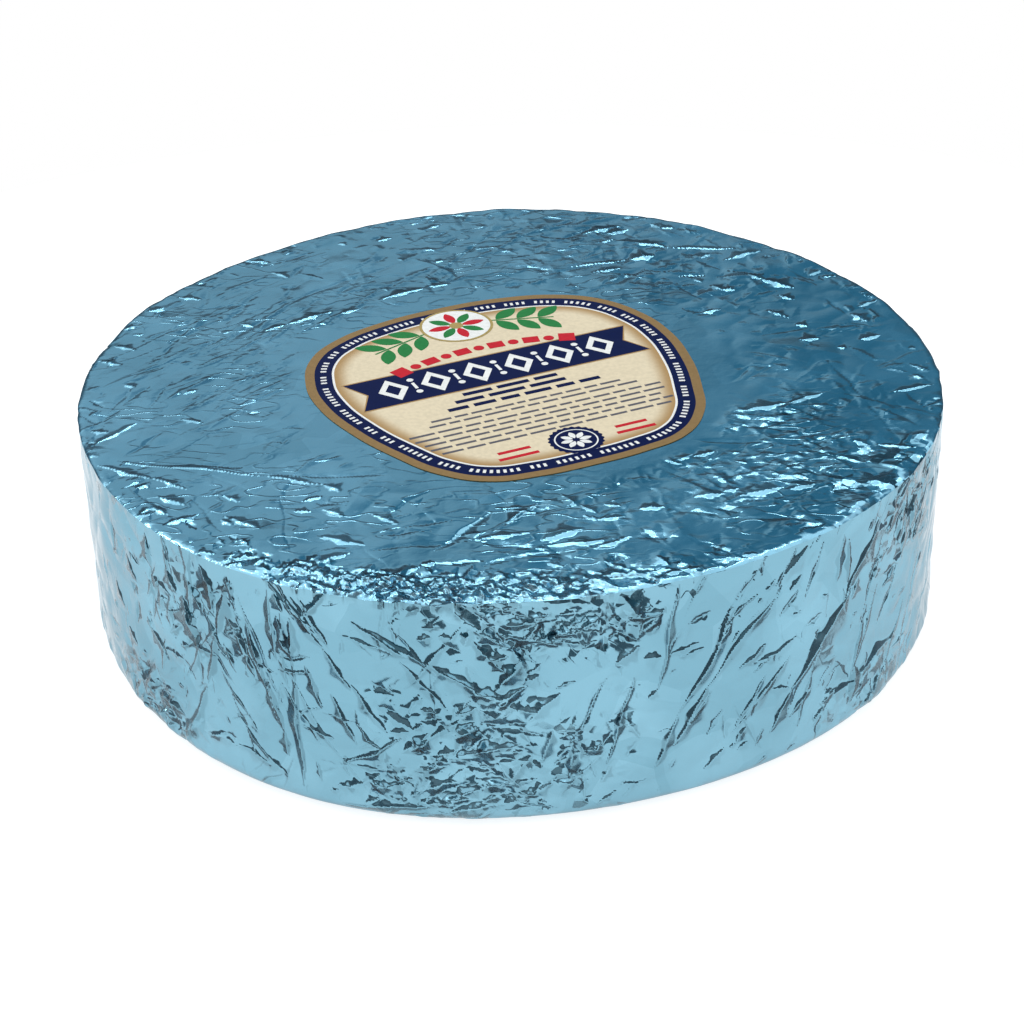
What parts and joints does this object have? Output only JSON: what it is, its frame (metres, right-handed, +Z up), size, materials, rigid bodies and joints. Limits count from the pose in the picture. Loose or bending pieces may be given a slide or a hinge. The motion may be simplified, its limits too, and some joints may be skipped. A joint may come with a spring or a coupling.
{
  "type": "foil-wrapped blue cheese wheel",
  "caption": "Low round wheel of blue cheese wrapped tight in crumpled blue foil, with a rounded paper label stuck on its flat top.",
  "frame": {"origin": "middle of the wheel's flat base", "axes": "+Z up through the label on the top face, -Y towards the side that the label's foot faces"},
  "size_m": [0.2305, 0.23, 0.0642],
  "materials": {
    "blue_foil": "glossy crumpled aluminium foil with a light blue lacquer",
    "label_paper": "coated paper printed in cream, navy, tan, red and green"
  },
  "bodies": {
    "root": {"foil_wrapped_wheel": "blue_foil", "paper_label": "label_paper"}
  },
  "joints": []
}
